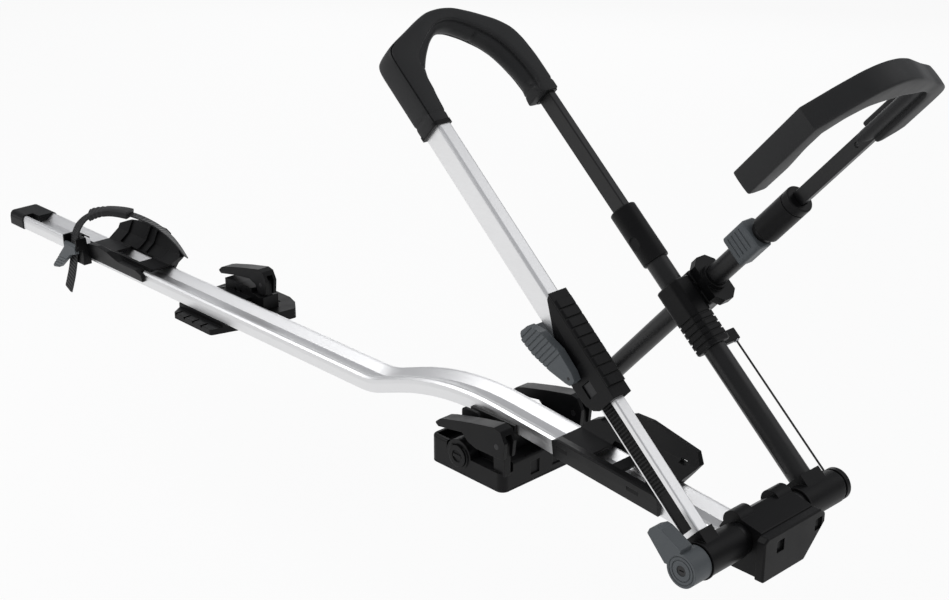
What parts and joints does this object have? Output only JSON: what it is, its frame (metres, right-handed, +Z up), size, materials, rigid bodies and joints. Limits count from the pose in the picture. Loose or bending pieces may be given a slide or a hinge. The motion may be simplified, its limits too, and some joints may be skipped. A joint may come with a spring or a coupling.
{
  "type": "roof mounted bike carrier",
  "caption": "Upright bike carrier for a car roof: bent rail on two feet, wheel trays, folding ratchet hoop with padded head, swinging telescopic hook arm, strap and clamp levers.",
  "frame": {"origin": "middle of the front foot's rest face, in the plane of the roof bar's top", "axes": "+X along the rail to the front, +Y to the far side, +Z up"},
  "size_m": [1.6994, 0.2874, 0.6342],
  "materials": {
    "black_plastic": "fine grain",
    "grey_plastic": "fine grain",
    "bare_aluminium": "satin anodised",
    "black_metal": "semi-gloss powder coat",
    "black_rubber": "matt",
    "steel": "zinc plated"
  },
  "bodies": {
    "carrier": {"rail": "bare_aluminium", "rear_end_cap": "black_plastic", "end_cap_screw": "steel", "front_tray": "black_plastic", "front_foot_pad": "black_rubber", "front_foot_base": "black_plastic", "front_saddle": "black_plastic", "front_bracket": "black_plastic", "front_lever_pin_near": "steel", "front_lever_pin_far": "steel", "rear_foot_pad": "black_rubber", "rear_foot_plate": "black_plastic", "rear_clamp_block": "black_plastic", "rear_lever_pin": "steel", "axle_housing": "black_plastic", "housing_cover": "black_plastic"},
    "rear_cradle": {"rear_tray": "black_plastic", "strap": "black_plastic", "strap_pad": "black_rubber", "buckle_base": "black_plastic", "buckle_pin": "steel"},
    "buckle": {"buckle_lever": "grey_plastic"},
    "knob": {"torque_knob": "black_plastic"},
    "near_clamp": {"front_lever_near": "black_plastic"},
    "far_clamp": {"front_lever_far": "black_plastic"},
    "rear_clamp": {"rear_lever": "black_plastic"},
    "hoop_lower": {"axle_tube": "black_metal", "far_axle_cap": "black_plastic", "lower_bar": "bare_aluminium", "rack_strip": "black_plastic", "near_collar": "black_plastic", "far_lower_tube": "black_metal", "far_collar": "black_plastic", "far_sleeve": "black_plastic", "arm_block": "black_plastic", "wire_ferrule": "steel", "tie_wire": "steel"},
    "axle_release": {"axle_lever": "grey_plastic", "lock_core": "steel"},
    "hoop_upper": {"upper_tube": "bare_aluminium", "far_upper_bar": "black_metal", "head_frame": "black_rubber", "head_pad": "black_rubber", "head_band_near": "black_plastic", "head_band_far": "black_plastic", "ratchet_housing": "black_plastic", "ratchet_grip": "black_plastic", "ratchet_pin": "steel"},
    "ratchet_release": {"ratchet_lever": "grey_plastic"},
    "ratchet_pawl": {"pawl": "steel"},
    "arm": {"arm_hub": "black_plastic", "arm_tube": "black_metal", "arm_sleeve": "black_plastic"},
    "trigger": {"arm_trigger": "grey_plastic"},
    "hook": {"arm_bar": "black_metal", "hook_core": "black_metal", "hook_pad": "black_rubber"}
  },
  "joints": [
    {"name": "rear_tray_slide", "type": "slide", "parent": "carrier", "child": "rear_cradle", "axis": [1, 0, 0], "range_m": [-0.15, 0.04]},
    {"name": "buckle_open", "type": "hinge", "parent": "rear_cradle", "child": "buckle", "pos_m": [-0.952, -0.0525, 0.046], "axis": [1, 0, 0], "range_deg": [-60, 0], "stiffness_Nm_per_rad": 0.1},
    {"name": "knob_turn", "type": "hinge", "parent": "carrier", "child": "knob", "pos_m": [-0.0128, -0.0746, 0.024], "axis": [0, 1, 0], "range_deg": [-180, 180]},
    {"name": "near_clamp_lift", "type": "hinge", "parent": "carrier", "child": "near_clamp", "pos_m": [0.055, -0.0667, 0.061], "axis": [0, 1, 0], "range_deg": [0, 80]},
    {"name": "far_clamp_lift", "type": "hinge", "parent": "carrier", "child": "far_clamp", "pos_m": [0.055, 0.0667, 0.061], "axis": [0, 1, 0], "range_deg": [0, 80]},
    {"name": "rear_clamp_lift", "type": "hinge", "parent": "carrier", "child": "rear_clamp", "pos_m": [-0.58, 0.059, 0.054], "axis": [0, 1, 0], "range_deg": [0, 80]},
    {"name": "hoop_fold", "type": "hinge", "parent": "carrier", "child": "hoop_lower", "pos_m": [0.3885, 0, 0.06302], "axis": [0, 1, 0], "range_deg": [-30, 40]},
    {"name": "axle_release_turn", "type": "hinge", "parent": "hoop_lower", "child": "axle_release", "pos_m": [0.3885, -0.127, 0.06302], "axis": [0, 1, 0], "range_deg": [0, 25], "stiffness_Nm_per_rad": 0.8},
    {"name": "hoop_extend", "type": "slide", "parent": "hoop_lower", "child": "hoop_upper", "axis": [-0.7443, 0, 0.6678], "range_m": [-0.14, 0.05]},
    {"name": "ratchet_squeeze", "type": "hinge", "parent": "hoop_upper", "child": "ratchet_release", "pos_m": [0.2055, -0.11, 0.21244], "axis": [0, 1, 0], "range_deg": [0, 8], "stiffness_Nm_per_rad": 1},
    {"name": "pawl_lift", "type": "slide", "parent": "hoop_upper", "child": "ratchet_pawl", "axis": [0, -1, 0], "range_m": [0, 0.002]},
    {"name": "arm_swing", "type": "hinge", "parent": "hoop_lower", "child": "arm", "pos_m": [0.18724, 0.1264, 0.24361], "axis": [0, 1, 0], "range_deg": [-50, 50]},
    {"name": "trigger_pull", "type": "slide", "parent": "arm", "child": "trigger", "axis": [0.6678, 0, 0.7443], "range_m": [-0.006, 0], "stiffness_N_per_m": 500, "springref_m": 0.004},
    {"name": "hook_extend", "type": "slide", "parent": "arm", "child": "hook", "axis": [0.6678, 0, 0.7443], "range_m": [-0.1, 0.08]}
  ],
  "couplings": [
    {"joint": "pawl_lift", "follows": "ratchet_squeeze", "m_per_rad": 0.0142}
  ]
}
